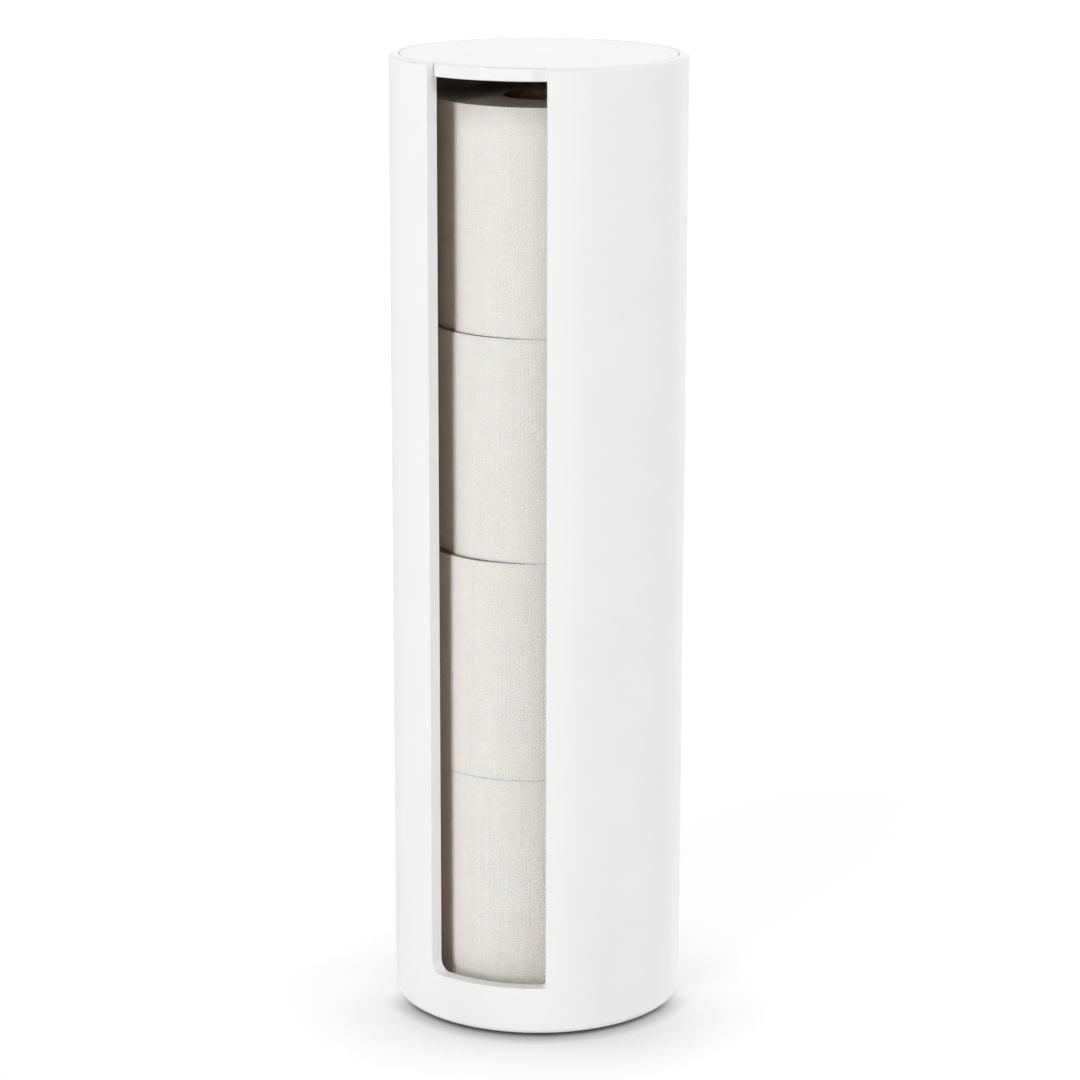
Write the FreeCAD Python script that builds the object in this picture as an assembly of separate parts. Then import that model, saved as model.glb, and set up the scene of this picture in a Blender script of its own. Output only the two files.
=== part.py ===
import FreeCAD, Part
import math
import os

# Toilet paper storage holder: an upright tube with a tall front slot, a drop-in lid and spare rolls stacked inside.
# Millimetres. +Z is up, the slot faces -Y, and the origin is on the floor, on the axis of the tube.

# Rolls, each wound on a cardboard core, numbered from the lowest
roll_count = 4
roll_height = 100.3
roll_radius = 48.2
roll_edge_round = 1.4
core_bore_radius = 17.5
core_wall = 1.0
core_edge_round = 0.2

# How far a roll may stand off the tube's axis, and each roll's shares of that along X and Y, the lowest first
roll_drift = 3.4
roll_x_shares = [-0.9, -0.94, 0.05, 0.65]
roll_y_shares = [-0.36, -0.37, 0.02, 0.26]

# Tube, which is made round the rolls: the room at their sides and the headroom from the top one to the lid
roll_room = 11.8
headroom = 12.5
tube_wall = 6.0
tube_top_round = 1.8
tube_foot_round = 2.6
rim_inner_round = 0.6

# Front slot: its cut faces are square to the wall, and it is open at the top, through the rim. Its lower corner
# at -X is rounder than the one at +X
slot_angle = 49.8
sill_height = 21.8
slot_left_round = 5.5
slot_right_round = 1.2
slot_edge_round = 0.4

# Lid, which lies on a step cut into the tube's rim
lid_thickness = 6.0
lid_step_width = 1.6
lid_gap = 0.25
lid_top_round = 0.9
lid_under_round = 0.5

# Base plate, bonded against a second step, cut into the tube's lower end
base_thickness = 11.2
base_step_width = 1.6
base_gap = 0.1
base_edge_round = 0.6

# Anti-slip pads under the base plate, which hold the tube's lower edge just off the floor
pad_count = 4
pad_radius = 9.0
pad_thickness = 3.4
pad_edge_round = 0.5
pad_margin = 5.0
foot_gap = 1.3

# How far a cutting solid runs past what it cuts, and how near a surface a point counts as on it
cut_overrun = 5.0
touch = 0.01

bore_radius = roll_radius + roll_room
tube_radius = bore_radius + tube_wall
tube_bottom = foot_gap
base_seat_radius = bore_radius + base_step_width
base_radius = base_seat_radius - base_gap
base_bottom = pad_thickness
base_top = base_bottom + base_thickness
core_radius = core_bore_radius + core_wall
rolls_top = base_top + roll_height * roll_count
lid_bottom = rolls_top + headroom
tube_top = lid_bottom + lid_thickness
lid_seat_radius = bore_radius + lid_step_width
lid_radius = lid_seat_radius - lid_gap

ORIGIN = FreeCAD.Vector(0, 0, 0)
UP = FreeCAD.Vector(0, 0, 1)


def outline(corners):
    """Closed wire in the XZ plane through corners of (radius, height, round), each rounded off by an arc."""
    count = len(corners)
    arcs = []
    for i, (radius, height, rounding) in enumerate(corners):
        before = corners[i - 1]
        after = corners[(i + 1) % count]
        point = FreeCAD.Vector(radius, 0, height)
        back = (FreeCAD.Vector(before[0], 0, before[1]) - point).normalize()
        ahead = (FreeCAD.Vector(after[0], 0, after[1]) - point).normalize()
        half = back.getAngle(ahead) / 2
        setback = rounding / math.tan(half)
        depth = rounding / math.sin(half) - rounding
        inward = (back + ahead).normalize()
        arcs.append((point + back * setback, point + inward * depth, point + ahead * setback, rounding))
    edges = []
    for i, (start, middle, end, rounding) in enumerate(arcs):
        if rounding > 0:
            edges.append(Part.Arc(start, middle, end).toShape())
        edges.append(Part.LineSegment(end, arcs[(i + 1) % count][0]).toShape())
    return Part.Wire(edges)


def turned(corners):
    """Solid of revolution about the Z axis."""
    return Part.Face(outline(corners)).revolve(ORIGIN, UP, 360)


def round_plate(radius, bottom, top, under_round, top_round):
    """Flat disc with its two rims rounded off."""
    return turned([(0, bottom, 0), (radius, bottom, under_round), (radius, top, top_round), (0, top, 0)])


def ring(inner, outer, bottom, top, inner_round, outer_round):
    """Tube with its four rims rounded off."""
    return turned(
        [
            (inner, bottom, inner_round),
            (outer, bottom, outer_round),
            (outer, top, outer_round),
            (inner, top, inner_round),
        ]
    )


def around(radius, angle, height):
    """Point at an angle in radians from the front, which is -Y, towards +X."""
    return FreeCAD.Vector(radius * math.sin(angle), -radius * math.cos(angle), height)


def lower_side_edges(wedge, sill, side):
    """The wedge's lowest edges that run outwards, on the side at -X for -1 and at +X for 1."""
    chosen = []
    for edge in wedge.Edges:
        first, last = edge.Vertexes[0].Point, edge.Vertexes[-1].Point
        level = abs(first.z - sill) < touch and abs(last.z - sill) < touch
        outwards = abs(math.hypot(first.x, first.y) - math.hypot(last.x, last.y)) > touch
        if level and outwards and first.x * side > 0 and last.x * side > 0:
            chosen.append(edge)
    return chosen


def slot_cutter():
    """Wedge that takes out the front slot, with its lower corners rounded."""
    half = math.radians(slot_angle) / 2
    near = bore_radius - cut_overrun
    far = (tube_radius + cut_overrun) / math.cos(half)
    sill = tube_bottom + sill_height
    corners = [around(near, -half, sill), around(far, -half, sill), around(far, half, sill), around(near, half, sill)]
    floor = Part.Face(Part.makePolygon(corners + corners[:1]))
    wedge = floor.extrude(UP * (tube_top + cut_overrun - sill))
    for side, rounding in ((-1, slot_left_round), (1, slot_right_round)):
        wedge = wedge.makeFillet(rounding, lower_side_edges(wedge, sill, side))
    return wedge


def slot_rim_edges(shell):
    """The slot's edges on the tube's outside and on its bore, which the edge rounding starts from."""
    half = math.radians(slot_angle) / 2
    chosen = []
    for edge in shell.Edges:
        middle = edge.valueAt((edge.FirstParameter + edge.LastParameter) / 2)
        radius = math.hypot(middle.x, middle.y)
        off_front = abs(math.atan2(middle.x, -middle.y))
        on_wall = abs(radius - tube_radius) < touch or abs(radius - bore_radius) < touch
        in_slot = off_front < half + touch / tube_radius and middle.z > tube_bottom + sill_height - touch
        if on_wall and in_slot and middle.z < lid_bottom - touch:
            chosen.append(edge)
    return chosen


def tube_shell():
    """Straight tube with a step at each end, one for the lid and one for the base plate, and the front slot."""
    wall = turned(
        [
            (tube_radius, tube_bottom, tube_foot_round),
            (tube_radius, tube_top, tube_top_round),
            (lid_seat_radius, tube_top, rim_inner_round),
            (lid_seat_radius, lid_bottom, 0),
            (bore_radius, lid_bottom, 0),
            (bore_radius, base_top, 0),
            (base_seat_radius, base_top, 0),
            (base_seat_radius, tube_bottom, base_edge_round),
        ]
    )
    shell = wall.cut(slot_cutter())
    return shell.makeFillet(slot_edge_round, slot_rim_edges(shell))


def lid():
    """Flat disc that drops into the rim, level with it."""
    return round_plate(lid_radius, lid_bottom, tube_top, lid_under_round, lid_top_round)


def base_plate():
    """Thick disc that closes the tube's lower end and carries the rolls."""
    return round_plate(base_radius, base_bottom, base_top, base_edge_round, 0)


def foot_pad(index):
    """Soft round pad stuck to the underside of the base plate."""
    pad = round_plate(pad_radius, 0, base_bottom, pad_edge_round, 0)
    angle = math.radians(360 * (index + 0.5) / pad_count)
    pad.translate(around(base_radius - pad_margin - pad_radius, angle, 0))
    return pad


def roll_place(index):
    """Middle of a roll's lower face."""
    return FreeCAD.Vector(
        roll_drift * roll_x_shares[index], roll_drift * roll_y_shares[index], base_top + roll_height * index
    )


def roll_paper(index):
    """Wound paper of one roll."""
    paper = ring(core_radius, roll_radius, 0, roll_height, 0, roll_edge_round)
    paper.translate(roll_place(index))
    return paper


def roll_core(index):
    """Cardboard tube that one roll is wound on."""
    core = ring(core_bore_radius, core_radius, 0, roll_height, core_edge_round, 0)
    core.translate(roll_place(index))
    return core


def save(name, shape):
    """Write one piece and print whether it is sound."""
    shape.exportStep(os.path.join("parts", name + ".step"))
    print(name, "valid", shape.isValid(), "solids", len(shape.Solids), "volume", round(shape.Volume, 1))


os.makedirs("parts", exist_ok=True)
save("tube_shell", tube_shell())
save("lid", lid())
save("base_plate", base_plate())
for i in range(pad_count):
    save(f"foot_pad_{i + 1}", foot_pad(i))
for i in range(roll_count):
    save(f"roll_{i + 1}_paper", roll_paper(i))
    save(f"roll_{i + 1}_core", roll_core(i))
print("tube is", tube_radius, "in radius and reaches", tube_top, "and the lid's underside is at", lid_bottom)
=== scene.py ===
import math

import bmesh
import bpy
from mathutils import Matrix, Vector


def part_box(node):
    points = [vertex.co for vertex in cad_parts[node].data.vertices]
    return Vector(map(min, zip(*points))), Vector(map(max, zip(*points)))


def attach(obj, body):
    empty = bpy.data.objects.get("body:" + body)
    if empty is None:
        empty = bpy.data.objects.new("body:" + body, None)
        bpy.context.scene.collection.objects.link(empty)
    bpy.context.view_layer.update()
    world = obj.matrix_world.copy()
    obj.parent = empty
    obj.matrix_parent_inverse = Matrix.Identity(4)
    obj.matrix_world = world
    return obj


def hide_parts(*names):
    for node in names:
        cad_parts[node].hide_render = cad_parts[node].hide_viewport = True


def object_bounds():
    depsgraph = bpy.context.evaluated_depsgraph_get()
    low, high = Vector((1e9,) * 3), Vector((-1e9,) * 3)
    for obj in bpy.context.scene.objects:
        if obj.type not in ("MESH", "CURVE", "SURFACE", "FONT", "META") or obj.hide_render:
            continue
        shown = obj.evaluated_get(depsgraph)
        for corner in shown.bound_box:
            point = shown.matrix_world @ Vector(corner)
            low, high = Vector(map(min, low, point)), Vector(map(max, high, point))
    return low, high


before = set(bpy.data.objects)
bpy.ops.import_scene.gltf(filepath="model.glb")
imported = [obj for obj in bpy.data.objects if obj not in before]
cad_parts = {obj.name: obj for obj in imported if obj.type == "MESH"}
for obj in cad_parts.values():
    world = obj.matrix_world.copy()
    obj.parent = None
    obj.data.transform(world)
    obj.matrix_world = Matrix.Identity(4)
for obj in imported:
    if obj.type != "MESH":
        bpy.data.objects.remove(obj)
cad_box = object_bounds()

# Foot pads: four round pads of black rubber, cut from sheet and stuck under the base plate, near its edge.
# They hold the tube's lower edge just off the floor and keep it from sliding.
MM = 0.001
PAD_ROUND = 0.5 * MM
PAD_TOP_ROUND = PAD_ROUND / 3
PAD_GROOVE = 0.35 * MM
PAD_GROOVE_ROUND = PAD_GROOVE / 3
PAD_GROOVE_STEPS = 3
PAD_RING_SHARES = (0.35, 0.58, 0.81)
PAD_STEPS = 72
PAD_BLACK = (0.030, 0.030, 0.032)
PAD_DUST = (0.055, 0.054, 0.052)
PAD_DUST_SCALE = 900
PAD_DUST_RAMP = (0.5, 0.75)
PAD_ROUGHNESS = 0.65
PAD_DUST_ROUGHNESS = 0.15
PAD_GRAIN_SCALE = 2600
PAD_GRAIN_DEPTH = 0.05 * MM
ROUND_STEPS = 6
MERGE_REACH = 1e-6


class Term:
    """A number in a node tree, so that sums and products of sockets are written as they are on paper."""

    def __init__(self, tree, socket):
        self.tree = tree
        self.socket = socket

    def step(self, operation, *others):
        node = self.tree.nodes.new("ShaderNodeMath")
        node.operation = operation
        for place, value in enumerate((self, *others)):
            plug(self.tree, node.inputs[place], value)
        return Term(self.tree, node.outputs[0])

    def __add__(self, other):
        return self.step("ADD", other)

    def __sub__(self, other):
        return self.step("SUBTRACT", other)

    def __mul__(self, other):
        return self.step("MULTIPLY", other)

    def __truediv__(self, other):
        return self.step("DIVIDE", other)

    def rest(self):
        """What is left to 1."""
        return self * -1 + 1

    def ramp(self, low, high):
        """0 up to low, 1 from high, and smooth between them."""
        node = self.tree.nodes.new("ShaderNodeMapRange")
        node.interpolation_type = "SMOOTHSTEP"
        for name, value in (("Value", self), ("From Min", low), ("From Max", high)):
            plug(self.tree, node.inputs[name], value)
        return Term(self.tree, node.outputs["Result"])


def plug(tree, socket, value):
    """Feed a socket with a term, another socket or a plain value."""
    if isinstance(value, Term):
        tree.links.new(value.socket, socket)
    elif isinstance(value, bpy.types.NodeSocket):
        tree.links.new(value, socket)
    else:
        socket.default_value = value


def triple(tree, x, y, z):
    """Three numbers as one vector socket."""
    node = tree.nodes.new("ShaderNodeCombineXYZ")
    for place, value in enumerate((x, y, z)):
        plug(tree, node.inputs[place], value)
    return node.outputs[0]


def parts_of(tree, vector):
    """The three numbers of a vector socket."""
    node = tree.nodes.new("ShaderNodeSeparateXYZ")
    plug(tree, node.inputs[0], vector)
    return [Term(tree, socket) for socket in node.outputs]


def noise(tree, vector, scale, detail=2.0, rough=0.5):
    """Soft noise from 0 to 1."""
    node = tree.nodes.new("ShaderNodeTexNoise")
    for name, value in (("Vector", vector), ("Scale", scale), ("Detail", detail), ("Roughness", rough)):
        plug(tree, node.inputs[name], value)
    return Term(tree, node.outputs[0])


def blended(tree, share, first, second):
    """One colour at a share of 0, another at 1, as sockets or plain values."""
    node = tree.nodes.new("ShaderNodeMix")
    node.data_type = "RGBA"
    for name, value in (("Factor", share), ("A", first), ("B", second)):
        plug(tree, node.inputs[name], value)
    return node.outputs["Result"]


def tinted(tree, share, first, second):
    """A colour between two plain ones."""
    return blended(tree, share, (*first, 1), (*second, 1))


def relief(tree, height, depth, under=None):
    """Surface relief from a height of 0 to 1, depth metres deep, over the relief under it."""
    node = tree.nodes.new("ShaderNodeBump")
    plug(tree, node.inputs["Height"], height)
    plug(tree, node.inputs["Distance"], depth)
    if under is not None:
        plug(tree, node.inputs["Normal"], under)
    return node.outputs[0]


def new_material(name, **constants):
    """A material, its tree, its shader with some sockets set, and the place on the object's own axes."""
    material = bpy.data.materials.new(name)
    material.use_nodes = True
    tree = material.node_tree
    shader = tree.nodes["Principled BSDF"]
    for socket, value in constants.items():
        shader.inputs[socket.replace("_", " ")].default_value = value
    place = tree.nodes.new("ShaderNodeTexCoord").outputs["Object"]
    return material, tree, shader, place


def rounded(corners, closed=True):
    """Points (radius, height) of a profile from corners (radius, height, rounding, steps)."""
    points = []
    count = len(corners)
    for place, (radius, height, rounding, steps) in enumerate(corners):
        corner = Vector((radius, height))
        loose = not closed and place in (0, count - 1)
        if rounding == 0 or loose:
            points.append(corner)
            continue
        before = Vector(corners[place - 1][:2])
        after = Vector(corners[(place + 1) % count][:2])
        back = (before - corner).normalized()
        ahead = (after - corner).normalized()
        half = back.angle(ahead) / 2
        middle = corner + (back + ahead).normalized() * (rounding / math.sin(half))
        start = corner + back * (rounding / math.tan(half)) - middle
        end = corner + ahead * (rounding / math.tan(half)) - middle
        for step in range(steps + 1):
            points.append(middle + start.normalized().slerp(end.normalized(), step / steps) * rounding)
    return points


def subdivided(points, longest):
    """The same line with no stretch longer than that."""
    made = [points[0]]
    for before, after in zip(points, points[1:]):
        cuts = max(1, math.ceil((after - before).length / longest))
        made += [before.lerp(after, cut / cuts) for cut in range(1, cuts + 1)]
    return made


def new_piece(name, vertices, faces, material):
    """A smooth mesh with its doubles merged and its faces turned outwards."""
    mesh = bpy.data.meshes.new(name)
    mesh.from_pydata(vertices, [], faces)
    mesh.validate()
    piece = bpy.data.objects.new(name, mesh)
    bpy.context.scene.collection.objects.link(piece)
    clean(mesh)
    mesh.materials.append(material)
    mesh.polygons.foreach_set("use_smooth", [True] * len(mesh.polygons))
    return piece


def clean(mesh):
    """Merge the doubles of a mesh and turn its faces outwards."""
    made = bmesh.new()
    made.from_mesh(mesh)
    bmesh.ops.remove_doubles(made, verts=made.verts, dist=MERGE_REACH)
    bmesh.ops.recalc_face_normals(made, faces=made.faces)
    made.to_mesh(mesh)
    made.free()


def turned(name, profile, steps, middle, material):
    """A piece turned from a profile that starts and ends on its axis."""
    vertices = []
    for step in range(steps):
        turn = 2 * math.pi * step / steps
        east, north = math.cos(turn), math.sin(turn)
        vertices += [(middle[0] + p.x * east, middle[1] + p.x * north, p.y) for p in profile]
    count = len(profile)
    faces = []
    for step in range(steps):
        first = step * count
        second = (step + 1) % steps * count
        faces += [(first + k, second + k, second + k + 1, first + k + 1) for k in range(count - 1)]
    return new_piece(name, vertices, faces, material)


def foot_pad(name):
    """A pad as the frame has it, with three shallow rings pressed into the side that grips the floor."""
    low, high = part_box(name)
    radius = (high.x - low.x) / 2
    top = high.z
    corners = [(0, 0, 0, 0)]
    for share in PAD_RING_SHARES:
        middle = share * radius
        for out, up in ((-PAD_GROOVE, 0), (0, PAD_GROOVE), (PAD_GROOVE, 0)):
            corners.append((middle + out, up, PAD_GROOVE_ROUND, PAD_GROOVE_STEPS))
    corners.append((radius, 0, PAD_ROUND, ROUND_STEPS))
    corners += [(radius, top, PAD_TOP_ROUND, ROUND_STEPS), (0, top, 0, 0)]
    return turned(name + "_moulded", rounded(corners, False), PAD_STEPS, (low + high) / 2, rubber)


rubber, tree, shader, place = new_material("pad rubber")
dust = noise(tree, place, PAD_DUST_SCALE, 4).ramp(*PAD_DUST_RAMP)
plug(tree, shader.inputs["Base Color"], tinted(tree, dust, PAD_BLACK, PAD_DUST))
plug(tree, shader.inputs["Roughness"], dust * PAD_DUST_ROUGHNESS + PAD_ROUGHNESS)
plug(tree, shader.inputs["Normal"], relief(tree, noise(tree, place, PAD_GRAIN_SCALE, 3), PAD_GRAIN_DEPTH))
for name in sorted(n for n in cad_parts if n.startswith("foot_pad")):
    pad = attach(foot_pad(name), "holder")
    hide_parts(name)

# Base plate: a thick white disc of plastic, moulded in one piece with a fine matt texture.
# It is bonded into the tube's lower end. Its weight keeps the tall tube upright, and the rolls stand on it.
BASE_WHITE = (0.80, 0.80, 0.795)
BASE_SHADE = (0.77, 0.77, 0.765)
BASE_ROUGHNESS = 0.6
CLOUD_SCALE = 35
CLOUD_RAMP = (0.3, 0.7)
CLOUD_ROUGHNESS = 0.06
GRAIN_SCALE = 2400
GRAIN_DEPTH = 0.012 * MM
GRAIN_ROUGHNESS = 0.05
BORE_EDGE = (0.05 * MM, 0.35 * MM)


def from_axis(tree, place):
    """Distance of a place from the tube's axis."""
    east, north, _ = parts_of(tree, place)
    return (east * east + north * north).step("SQRT")


def moulded_white(name, colour, darker, roughness, bore=0.0, inside=(1, 1, 1)):
    """Matt white plastic: a faint cloudiness in the colour, and the fine grain of an eroded mould.

    Within a radius of bore from the tube's axis it takes the colour given as inside, a darker and warmer
    painted shade."""
    material, tree, shader, place = new_material(name, IOR=1.49)
    cloud = noise(tree, place, CLOUD_SCALE, 3)
    outside = tinted(tree, cloud.ramp(*CLOUD_RAMP), colour, darker)
    if bore > 0:
        # Painted shade: inside the bore the colour goes to a darker, warmer one, to deepen the shade within
        # the tube.
        wall = from_axis(tree, place).ramp(bore + BORE_EDGE[0], bore + BORE_EDGE[1])
        outside = blended(tree, wall, (*inside, 1), outside)
    plug(tree, shader.inputs["Base Color"], outside)
    grain = noise(tree, place, GRAIN_SCALE, 2, 0.6)
    least = roughness - (CLOUD_ROUGHNESS + GRAIN_ROUGHNESS) / 2
    plug(tree, shader.inputs["Roughness"], cloud * CLOUD_ROUGHNESS + grain * GRAIN_ROUGHNESS + least)
    plug(tree, shader.inputs["Normal"], relief(tree, grain, GRAIN_DEPTH))
    return material


def finish_node(name, material):
    """Give a CAD node its finish."""
    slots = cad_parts[name].data.materials
    slots.clear()
    slots.append(material)


finish_node("base_plate", moulded_white("base plastic", BASE_WHITE, BASE_SHADE, BASE_ROUGHNESS))

# Tube: one straight tube of matt white plastic, cut open at the front in a tall slot.
# Both its ends are turned down inside, the upper one for the lid and the lower one for the base plate.
# The cut edges are only just broken. The bore is painted darker and a little warmer than the outside, a
# painted shade for the dim inside.
SHELL_WHITE = (0.872, 0.872, 0.872)
SHELL_SHADE = (0.862, 0.862, 0.862)
BORE_PAINTED_SHADE = (0.58, 0.55, 0.51)
BORE_RADIUS = 60 * MM
SHELL_ROUGHNESS = 0.75
shell_plastic = moulded_white("shell plastic", SHELL_WHITE, SHELL_SHADE, SHELL_ROUGHNESS,
                              BORE_RADIUS, BORE_PAINTED_SHADE)
finish_node("tube_shell", shell_plastic)

# Cores: each roll is wound on a thin tube of grey-brown board.
# The board is itself wound from narrow strips in a slant and glued, so its joint runs round it as a spiral.
# Its ends are cut level with the paper.
BOARD = (0.20, 0.155, 0.115)
BOARD_DARK = (0.13, 0.095, 0.065)
STRIP_WIDTH = 62 * MM
STRIP_SLANT = math.radians(32)
JOINT_WIDTH = 0.5 * MM
CORE_COLUMNS = 128
CORE_WALL = 1.0 * MM
CORE_MOUTH_ROUND = 0.2 * MM
CORE_EDGE = (0.1 * MM, 0.1 * MM)
CORE_FACE_STEP = 0.4 * MM
CORE_SIDE_STEP = 4 * MM
CORE_OUT_OF_ROUND = 0.25 * MM
CORE_LAYER_RELIEF = 0.12 * MM
BOARD_FIBRE = (300, 1400)
BOARD_FIBRE_RAMP = (0.35, 0.7)
BOARD_RELIEF = 0.2 * MM
SHARP_ANGLE = math.radians(50)
TAIL_SHARE = 0.0006
RIPPLES = 2.2
RIPPLE_HEIGHT = 45 * MM
LAYER_GROUP = 1.1 * MM
LAYERS_END = (0.8, 0.96)
EDGE_WAVES = 3.0
EDGE_WAVE_FROM = (0.7, 1.0)
WOUND_INPUTS = {
    "Columns": "Int",
    "Rows": "Int",
    "Middle": "Vector",
    "Core Radius": "Float",
    "Radius": "Float",
    "Half Height": "Float",
    "Tail Angle": "Float",
    "Tail Step": "Float",
    "Seed": "Float",
    "Out Of Round": "Float",
    "Ripple": "Float",
    "Layer Relief": "Float",
    "Edge Wave": "Float",
    "Material": "Material",
}


def wave(tree, vector, seed):
    """Soft noise about zero, different for each seed."""
    node = tree.nodes.new("ShaderNodeTexNoise")
    node.noise_dimensions = "4D"
    for name, value in (("Vector", vector), ("W", seed), ("Scale", 1.0), ("Detail", 1.0)):
        plug(tree, node.inputs[name], value)
    return Term(tree, node.outputs[0]) - 0.5


def linked(tree, kind, output=0, **values):
    """A geometry node with its sockets fed, and one of its outputs."""
    node = tree.nodes.new(kind)
    for name, value in values.items():
        plug(tree, node.inputs[name.replace("_", " ")], value)
    return node.outputs[output]


def wound_tree():
    """Nodes that carry a profile round an axis as a sheet is wound, so that its end makes a step."""
    tree = bpy.data.node_groups.new("wound round a core", "GeometryNodeTree")
    tree.interface.new_socket("Profile", in_out="INPUT", socket_type="NodeSocketGeometry")
    for name, kind in WOUND_INPUTS.items():
        tree.interface.new_socket(name, in_out="INPUT", socket_type="NodeSocket" + kind)
    tree.interface.new_socket("Wound", in_out="OUTPUT", socket_type="NodeSocketGeometry")
    given = {socket.name: socket for socket in tree.nodes.new("NodeGroupInput").outputs}
    size = {name: Term(tree, socket) for name, socket in given.items()}
    columns, rows = size["Columns"], size["Rows"]
    grid = tree.nodes.new("GeometryNodeMeshGrid")
    sides = {"Size X": 1.0, "Size Y": 1.0, "Vertices X": columns + 1, "Vertices Y": rows}
    for name, value in sides.items():
        plug(tree, grid.inputs[name], value)
    place = tree.nodes.new("GeometryNodeInputPosition").outputs[0]

    def surface(across, along):
        """Turn of the sheet, and radius and height on the profile, from the two sides of the grid."""
        column = (across * columns).step("ROUND")
        last = columns - 1
        turn = column.step("MINIMUM", last) / last * (1 - TAIL_SHARE)
        turn = turn + (column - last).step("MAXIMUM", 0.0) * TAIL_SHARE
        sample = tree.nodes.new("GeometryNodeSampleIndex")
        sample.data_type = "FLOAT_VECTOR"
        plug(tree, sample.inputs["Geometry"], given["Profile"])
        plug(tree, sample.inputs["Value"], place)
        plug(tree, sample.inputs["Index"], (along * (rows - 1)).step("ROUND"))
        radius, _, height = parts_of(tree, sample.outputs[0])
        return turn, radius, height

    across, along, _ = parts_of(tree, place)
    turn, radius, height = surface(across + 0.5, along + 0.5)
    angle = turn * (2 * math.pi) + size["Tail Angle"]
    east, south = angle.step("SINE"), angle.step("COSINE")
    reach = ((radius - size["Core Radius"]) / (size["Radius"] - size["Core Radius"])).step("MAXIMUM", 0.0)
    seed = size["Seed"]
    round_about = triple(tree, east, south, 0.0)
    sag = wave(tree, round_about, seed) * size["Out Of Round"] - size["Out Of Round"] / 2
    ripple_place = triple(tree, east * RIPPLES, south * RIPPLES, height / RIPPLE_HEIGHT)
    ripple = wave(tree, ripple_place, seed + 7) * size["Ripple"] - size["Ripple"] / 2
    radius_now = radius + (sag + ripple - turn * size["Tail Step"]) * reach
    side = height.step("SIGN")
    layer_place = triple(tree, radius / LAYER_GROUP, east, south)
    layers = (wave(tree, layer_place, seed + side * 3) + 0.5) * size["Layer Relief"]
    layers = layers * reach.ramp(*LAYERS_END).rest()
    edge_place = triple(tree, east * EDGE_WAVES, south * EDGE_WAVES, 0.0)
    edge = (wave(tree, edge_place, seed + side * 5) + 0.5) * size["Edge Wave"] * reach.ramp(*EDGE_WAVE_FROM)
    inwards = (layers + edge) / size["Half Height"]
    height_now = height - height * inwards
    moved = linked(tree, "ShaderNodeVectorMath", Vector=triple(
        tree, radius_now * east, radius_now * south * -1, height_now))
    moved.node.operation = "ADD"
    plug(tree, moved.node.inputs[1], given["Middle"])

    on_grid = parts_of(tree, grid.outputs["UV Map"])
    turn, radius, height = surface(on_grid[0], on_grid[1])
    beyond = (size["Radius"] - radius) * height.step("SIGN")
    sheet_place = triple(tree, turn * size["Radius"] * (2 * math.pi), height + beyond, 0.0)
    stored = tree.nodes.new("GeometryNodeStoreNamedAttribute")
    stored.data_type = "FLOAT2"
    stored.domain = "CORNER"
    for name, value in (("Geometry", grid.outputs["Mesh"]), ("Name", "UVMap"), ("Value", sheet_place)):
        plug(tree, stored.inputs[name], value)
    made = linked(tree, "GeometryNodeSetPosition", Geometry=stored.outputs[0], Position=moved)
    made = linked(tree, "GeometryNodeMergeByDistance", Geometry=made, Distance=MERGE_REACH)
    made = linked(tree, "GeometryNodeRealizeInstances", Geometry=made)
    made = linked(tree, "GeometryNodeSetMaterial", Geometry=made, Material=given["Material"])
    plug(tree, tree.nodes.new("NodeGroupOutput").inputs[0], made)
    return tree


wound = wound_tree()


def wind(name, profile, material, **sizes):
    """A piece that the nodes wind from a closed profile of (radius, height), as a plain mesh."""
    line = bpy.data.meshes.new(name)
    line.from_pydata([(point.x, 0, point.y) for point in profile], [], [])
    carrier = bpy.data.objects.new(name + "_profile", line)
    bpy.context.scene.collection.objects.link(carrier)
    winding = carrier.modifiers.new("winding", "NODES")
    winding.node_group = wound
    items = wound.interface.items_tree
    sockets = {item.name: item.identifier for item in items if item.item_type == "SOCKET"}
    sizes["Rows"] = len(profile)
    sizes["Material"] = material
    for key, value in sizes.items():
        winding[sockets[key.replace("_", " ")]] = value
    graph = bpy.context.evaluated_depsgraph_get()
    mesh = bpy.data.meshes.new_from_object(carrier.evaluated_get(graph), depsgraph=graph)
    bpy.data.objects.remove(carrier)
    mesh.name = name
    clean(mesh)
    mesh.polygons.foreach_set("use_smooth", [True] * len(mesh.polygons))
    mesh.set_sharp_from_angle(angle=SHARP_ANGLE)
    piece = bpy.data.objects.new(name, mesh)
    bpy.context.scene.collection.objects.link(piece)
    return piece


def ring_profile(inner, outer, half, inner_round, edge, face_step, side_step):
    """Closed profile of a ring about its middle height, starting and ending in its bore.

    Its outer edges slope in and down by the two numbers of edge, and are soft where they meet the side."""
    inwards, down = edge
    corners = [(inner, -half, inner_round, ROUND_STEPS), (outer - inwards, -half, 0, 0),
               (outer, down - half, inwards, ROUND_STEPS), (outer, half - down, inwards, ROUND_STEPS),
               (outer - inwards, half, 0, 0), (inner, half, inner_round, ROUND_STEPS)]
    points = rounded(corners)
    made = []
    for before, after in zip(points, points[1:] + points[:1]):
        level = abs(after.y - before.y) < abs(after.x - before.x)
        made += subdivided([before, after], face_step if level else side_step)[:-1]
    return made + made[:1]


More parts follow.
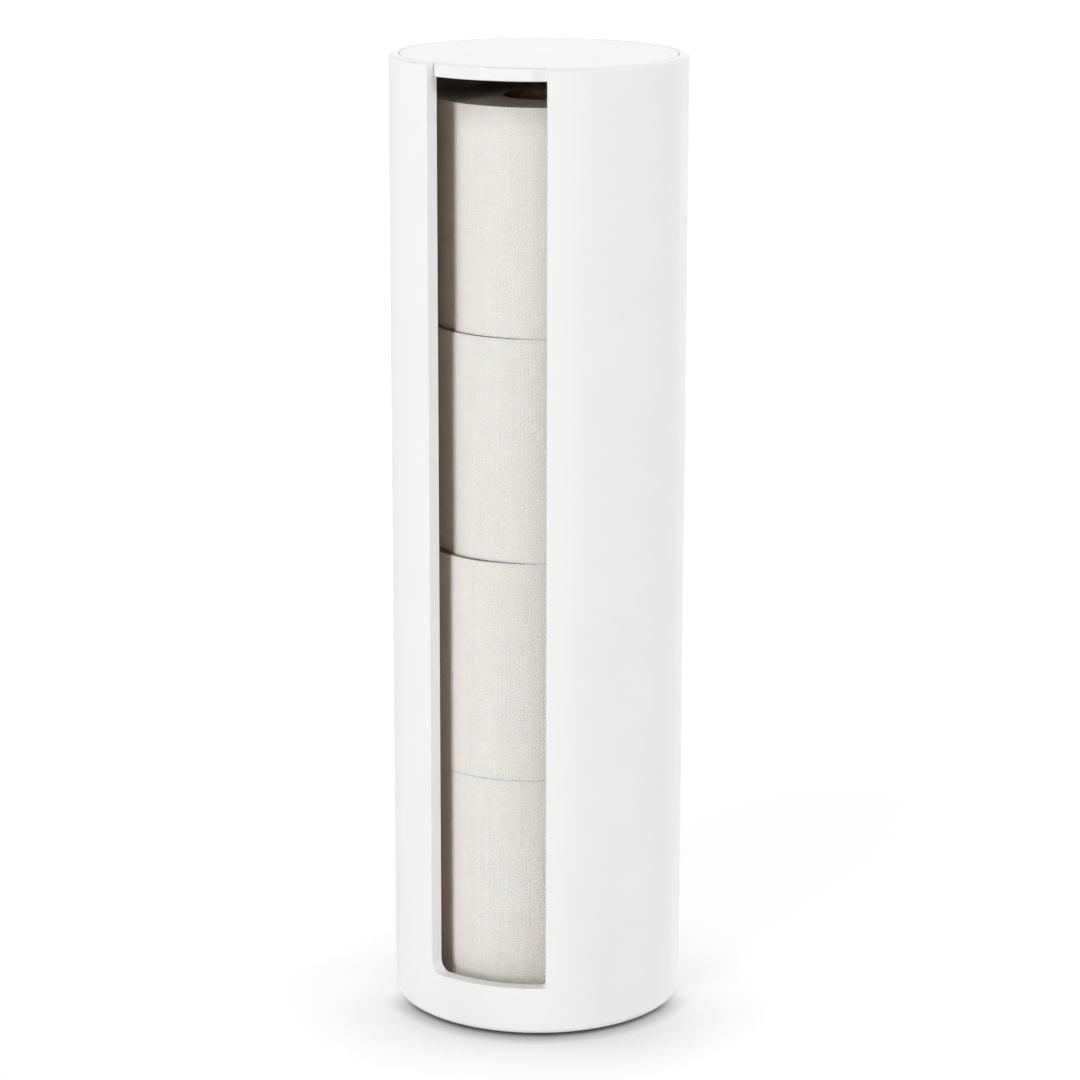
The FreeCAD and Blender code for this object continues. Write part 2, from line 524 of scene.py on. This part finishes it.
board, tree, shader, place = new_material("core board", Roughness=0.85, Specular_IOR_Level=0.25)
sheet = tree.nodes.new("ShaderNodeUVMap").outputs[0]
along, up, _ = parts_of(tree, sheet)
slanted = (along * math.sin(STRIP_SLANT) + up * math.cos(STRIP_SLANT)) / STRIP_WIDTH
off_joint = (slanted.step("FRACT") - 0.5).step("ABSOLUTE") * STRIP_WIDTH
joint = off_joint.ramp(0.0, JOINT_WIDTH)
fibres = noise(tree, triple(tree, along * BOARD_FIBRE[0], up * BOARD_FIBRE[1], 0.0), 1.0, 4, 0.6)
clear = fibres.ramp(*BOARD_FIBRE_RAMP) * joint
plug(tree, shader.inputs["Base Color"], tinted(tree, clear, BOARD_DARK, BOARD))
plug(tree, shader.inputs["Normal"], relief(tree, fibres * 0.3 + joint * 0.7, BOARD_RELIEF))
for seed, name in enumerate(sorted(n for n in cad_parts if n.endswith("_core"))):
    low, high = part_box(name)
    radius = (high.x - low.x) / 2
    half = (high.z - low.z) / 2
    profile = ring_profile(radius - CORE_WALL, radius, half, CORE_MOUTH_ROUND, CORE_EDGE,
                           CORE_FACE_STEP, CORE_SIDE_STEP)
    core = wind(name.replace("core", "cardboard_core"), profile, board,
                Columns=CORE_COLUMNS, Middle=(low + high) / 2, Core_Radius=0.0, Radius=radius,
                Half_Height=half, Seed=float(seed), Out_Of_Round=CORE_OUT_OF_ROUND,
                Layer_Relief=CORE_LAYER_RELIEF)
    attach(core, name.replace("_core", ""))
    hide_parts(name)

# Rolls: soft two-ply tissue, embossed all over with fine dots and wound tight on the cores.
# The cut ends show the windings, and each roll's loose end lies round the back.
# The rolls stand on each other, a few millimetres out of line.
PAPER = (0.93, 0.922, 0.895)
PAPER_SHADE = (0.87, 0.855, 0.82)
# Painted shade: a warm brown laid on the paper where the tube's wall shelters it.
PAPER_PAINTED_SHADE = (0.80, 0.68, 0.55)
PAPER_NEAR_WALL = 25 * MM
PAPER_OPEN_RAMP = (0.35, 0.9)
PAPER_FRONT_RAMP = (0.82, 0.92)
PAPER_SPREAD = (1.0, 0.62, 0.36)
PAPER_SPREAD_DEPTH = 2.5 * MM
PAPER_SPREAD_SHARE = 0.3
# Painted shade on the cut ends: their paper is darker and warmer than the side, and the gaps between plies
# hold a painted shadow.
CUT_RIDGE_PAINTED_SHADE = (0.62, 0.57, 0.51)
CUT_GAP_PAINTED_SHADOW = (0.20, 0.15, 0.11)
CUT_FROM = 1.1
CUT_WHOLE = 2.2
GAP_RAMP = (0.1, 0.42)
DOT_ACROSS = 1.2 * MM
DOT_ALONG = 2.1 * MM
DOT_DEPTH = 0.6 * MM
DOT_RAMP = (-0.2, 0.9)
STREAK = (2.2 * MM, 60 * MM)
STREAK_RAMP = (0.3, 0.75)
CREPE = (0.9 * MM, 0.25 * MM)
FIBRE_SCALE = 5200
FIBRE_DEPTH = 0.05 * MM
PAPER_CLOUD_SCALE = 70
PLY = 0.34 * MM
PAPER_COLUMNS = 256
PAPER_MOUTH_ROUND = 0.1 * MM
PAPER_EDGE = (0.2 * MM, 0.3 * MM)
PAPER_FACE_STEP = 0.8 * MM
PAPER_SIDE_STEP = 1.6 * MM
PAPER_OUT_OF_ROUND = 0.3 * MM
PAPER_RIPPLE = 0.3 * MM
PAPER_LAYER_RELIEF = 0.2 * MM
PAPER_EDGE_SAG = 0.05 * MM
TAIL_DEGREES = (118.0, 140.0, 126.0, 150.0)
TAIL_SEED = 3.0
TAIL_SEED_STEP = 11.0


def open_sky(tree, reach):
    """1 where nothing stands within reach of a surface, and less where something shelters it."""
    node = tree.nodes.new("ShaderNodeAmbientOcclusion")
    node.inputs["Distance"].default_value = reach
    return Term(tree, node.outputs["AO"])


def tissue(radius, half):
    """Embossed tissue, whose pattern follows the sheet: along it, and up it.

    Where it turns from the slot and stands near the tube's wall, a warm brown painted shade darkens its
    colour."""
    material, tree, shader, place = new_material(
        "tissue", Roughness=0.95, Specular_IOR_Level=0.1, Diffuse_Roughness=1.0,
        Subsurface_Weight=PAPER_SPREAD_SHARE, Subsurface_Radius=PAPER_SPREAD,
        Subsurface_Scale=PAPER_SPREAD_DEPTH)
    sheet = tree.nodes.new("ShaderNodeUVMap").outputs[0]
    along, up, _ = parts_of(tree, sheet)
    beyond = up.step("ABSOLUTE") - (half - PAPER_EDGE[1])
    cut = beyond.ramp(CUT_FROM * PAPER_EDGE[1], CUT_WHOLE * PAPER_EDGE[1])
    rows = (along * (2 * math.pi / DOT_ACROSS)).step("COSINE")
    dots = rows * (up * (2 * math.pi / DOT_ALONG)).step("COSINE")
    pressed = dots.ramp(*DOT_RAMP)
    streaks = noise(tree, triple(tree, along / STREAK[0], up / STREAK[1], 0.0), 1.0, 3, 0.6)
    crepe = noise(tree, triple(tree, along / CREPE[0], up / CREPE[1], 0.0), 1.0, 2, 0.6)
    fibres = noise(tree, place, FIBRE_SCALE, 3, 0.6)
    cloud = noise(tree, place, PAPER_CLOUD_SCALE, 3)
    # The pressed dots are painted darker, a painted shade in their hollows; streaks, cloud and fibres are
    # the paper's own uneven tone.
    shade = pressed * 0.35 + streaks.ramp(*STREAK_RAMP) * 0.3 + cloud.ramp(*CLOUD_RAMP) * 0.2
    shade = shade + fibres * 0.15
    side_colour = tinted(tree, shade, PAPER, PAPER_SHADE)
    # Painted shade: where ambient occlusion finds the wall near and the paper turns from the slot, its
    # colour goes to the warm brown.
    north = parts_of(tree, place)[1]
    faces_slot = (north * -1 / from_axis(tree, place)).ramp(*PAPER_FRONT_RAMP)
    unpainted_share = open_sky(tree, PAPER_NEAR_WALL).ramp(*PAPER_OPEN_RAMP).step("MAXIMUM", faces_slot)
    side_colour = blended(tree, unpainted_share, (*PAPER_PAINTED_SHADE, 1), side_colour)
    # The windings of the cut ends: a painted shadow in the gaps between plies, over the darkened ends.
    winding = (beyond / PLY + along / (2 * math.pi * radius) + cloud * 1.5).step("FRACT")
    gap = (winding - 0.5).step("ABSOLUTE").ramp(*GAP_RAMP)
    cut_painted_shade = tinted(tree, gap * (cloud.ramp(0.2, 0.8) * 0.5 + 0.5), CUT_RIDGE_PAINTED_SHADE, CUT_GAP_PAINTED_SHADOW)
    plug(tree, shader.inputs["Base Color"], blended(tree, cut, side_colour, cut_painted_shade))
    side_height = cut.rest() * (pressed * -0.6 + crepe * 0.15 + streaks * 0.25) + cut * gap * -0.7
    fine = relief(tree, fibres, FIBRE_DEPTH)
    plug(tree, shader.inputs["Normal"], relief(tree, side_height, DOT_DEPTH, fine))
    return material


papers = sorted(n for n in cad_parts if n.endswith("_paper"))
low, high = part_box(papers[0])
paper = tissue((high.x - low.x) / 2, (high.z - low.z) / 2)
for seed, name in enumerate(papers):
    low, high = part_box(name)
    radius = (high.x - low.x) / 2
    half = (high.z - low.z) / 2
    core_low, core_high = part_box(name.replace("paper", "core"))
    inner = (core_high.x - core_low.x) / 2
    profile = ring_profile(inner, radius, half, PAPER_MOUTH_ROUND, PAPER_EDGE,
                           PAPER_FACE_STEP, PAPER_SIDE_STEP)
    roll = wind(name.replace("paper", "tissue"), profile, paper,
                Columns=PAPER_COLUMNS, Middle=(low + high) / 2, Core_Radius=inner, Radius=radius,
                Half_Height=half, Tail_Angle=math.radians(TAIL_DEGREES[seed]), Tail_Step=PLY,
                Seed=seed * TAIL_SEED_STEP + TAIL_SEED, Out_Of_Round=PAPER_OUT_OF_ROUND,
                Ripple=PAPER_RIPPLE, Layer_Relief=PAPER_LAYER_RELIEF, Edge_Wave=PAPER_EDGE_SAG)
    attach(roll, name.replace("_paper", ""))
    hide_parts(name)

# Lid: a flat disc of the same white plastic, which drops on to the step in the rim and lies level with it.
# Only a hairline seam shows round it, and it lifts straight off.
finish_node("lid", moulded_white("lid plastic", SHELL_WHITE, SHELL_SHADE, SHELL_ROUGHNESS))

# Floor: a plain pale floor, white to the camera and a little less so near the tube, a painted shade.
# Its glow holds a soft painted shadow round the foot, deeper on the camera's side, and a thin dark painted
# one where the tube all but touches it.
CAMERA_TURN = math.radians(21.65)
FLOOR_SIDE = 60.0
FLOOR_WHITE = (0.8, 0.8, 0.8)
FLOOR_SEEN = (0.12, 0.12, 0.12)
FLOOR_NEAR = 0.90
FLOOR_FAR = 1.0
FLOOR_NEAR_RADIUS = 0.15
FLOOR_FAR_RADIUS = 0.9
SHADOW_REACH = 0.06
SHADOW_AT_SIDES = 0.35
SHADOW_DEPTH = 0.78
SHADOW_FRONT = (0.0, 0.07)
CONTACT_REACH = 0.010
CONTACT_FRONT = (0.01, 0.035)


def seen(tree):
    """1 for what the camera sees, straight on or in a reflection, and 0 for light that falls on things."""
    rays = tree.nodes.new("ShaderNodeLightPath").outputs
    direct = Term(tree, rays["Is Camera Ray"]).step("MAXIMUM", Term(tree, rays["Is Glossy Ray"]))
    return direct.step("MAXIMUM", Term(tree, rays["Is Transmission Ray"]))


corner = FLOOR_SIDE / 2
corners = [(-corner, -corner, 0), (corner, -corner, 0), (corner, corner, 0), (-corner, corner, 0)]
floor = new_piece("floor", corners, [(0, 1, 2, 3)], rubber)
floor_material, tree, shader, place = new_material("floor", Roughness=1.0, Specular_IOR_Level=0.0,
                                                   Emission_Color=(1, 1, 1, 1))
plug(tree, shader.inputs["Base Color"], tinted(tree, seen(tree), FLOOR_WHITE, FLOOR_SEEN))
east, north, _ = parts_of(tree, place)
away = from_axis(tree, place).ramp(FLOOR_NEAR_RADIUS, FLOOR_FAR_RADIUS)
ahead = east * math.sin(CAMERA_TURN) - north * math.cos(CAMERA_TURN)
round_about = ahead.ramp(*SHADOW_FRONT) * (1 - SHADOW_AT_SIDES) + SHADOW_AT_SIDES
# Painted shadow: ambient occlusion darkens the floor's glow near the tube, more on the camera's side.
shadow = open_sky(tree, SHADOW_REACH).rest() * round_about * SHADOW_DEPTH
contact = open_sky(tree, CONTACT_REACH).rest() * ahead.ramp(*CONTACT_FRONT)
white = away * (FLOOR_FAR - FLOOR_NEAR) + FLOOR_NEAR
glow = seen(tree) * contact.rest() * shadow.rest() * white
plug(tree, shader.inputs["Emission Strength"], glow)
floor.data.materials[0] = floor_material

# Light: a low and a high softbox in front, a little left of the slot, and others at the sides and the back.
# The room is white to the camera and gives no light. The numbers of a softbox are its turn round the tube
# from the slot's side, -Y, towards +X, its rise, distance, width, height and level.
LAMPS = {
    "key": (-8.0, 11.0, 10.0, 2.1, 3.6, 0.42),
    "front_high": (-11.0, 52.0, 10.0, 2.1, 2.4, 0.33),
    "right": (79.5, 12.0, 10.0, 1.6, 2.4, 0.295),
    "right_back": (136.65, 25.0, 10.0, 2.4, 2.4, 0.455),
    "back": (201.65, 35.0, 10.0, 4.0, 4.0, 0.42),
    "left_back": (-98.35, 25.0, 10.0, 2.4, 2.4, 0.18),
    "left": (-58.35, 8.0, 10.0, 2.4, 2.4, 0.07),
}


def softbox(name, turn, rise, distance, width, height, level):
    """A lamp that looks at the tube's middle. At a level of 1, white that faces it comes out as 1."""
    lamp = bpy.data.lights.new(name, "AREA")
    lamp.shape = "RECTANGLE"
    lamp.size = width
    lamp.size_y = height
    lamp.energy = level * math.pi ** 2 * distance ** 2
    lit = bpy.data.objects.new(name, lamp)
    turn, rise = math.radians(turn), math.radians(rise)
    back = Vector((math.sin(turn) * math.cos(rise), -math.cos(turn) * math.cos(rise), math.sin(rise)))
    lit.location = (cad_box[0] + cad_box[1]) / 2 + back * distance
    lit.rotation_euler = back.to_track_quat("Z", "Y").to_euler()
    lit.visible_camera = False
    bpy.context.scene.collection.objects.link(lit)


for name, values in LAMPS.items():
    softbox(name, *values)
room = bpy.data.worlds.new("room")
bpy.context.scene.world = room
room.use_nodes = True
tree = room.node_tree
plug(tree, tree.nodes["Background"].inputs["Strength"], seen(tree))
tree.nodes["Background"].inputs["Color"].default_value = (1, 1, 1, 1)

# Camera: 1.5 m off, above the rim and looking down at the tube, about 22 degrees to the right of the slot.
# Its long lens keeps the tube's sides nearly parallel.
CAMERA_DISTANCE = 1.505
CAMERA_HEIGHT = 0.5931
CAMERA_PITCH = math.radians(14.133)
CAMERA_OFFSET = math.radians(0.0295)
CAMERA_ROLL = math.radians(0.1)
CAMERA_LENS = 114.09
CAMERA_SENSOR = 36.0
camera = bpy.data.objects.new("camera", bpy.data.cameras.new("camera"))
camera.data.sensor_width = CAMERA_SENSOR
camera.data.lens = CAMERA_LENS
side, ahead = math.sin(CAMERA_TURN), math.cos(CAMERA_TURN)
camera.location = (CAMERA_DISTANCE * side, -CAMERA_DISTANCE * ahead, CAMERA_HEIGHT)
aside = Matrix.Rotation(CAMERA_TURN - CAMERA_OFFSET, 3, "Z")
down = Matrix.Rotation(math.pi / 2 - CAMERA_PITCH, 3, "X")
camera.rotation_euler = (aside @ down @ Matrix.Rotation(CAMERA_ROLL, 3, "Z")).to_euler()
bpy.context.scene.collection.objects.link(camera)
bpy.context.scene.camera = camera
bpy.context.scene.view_settings.view_transform = "Standard"
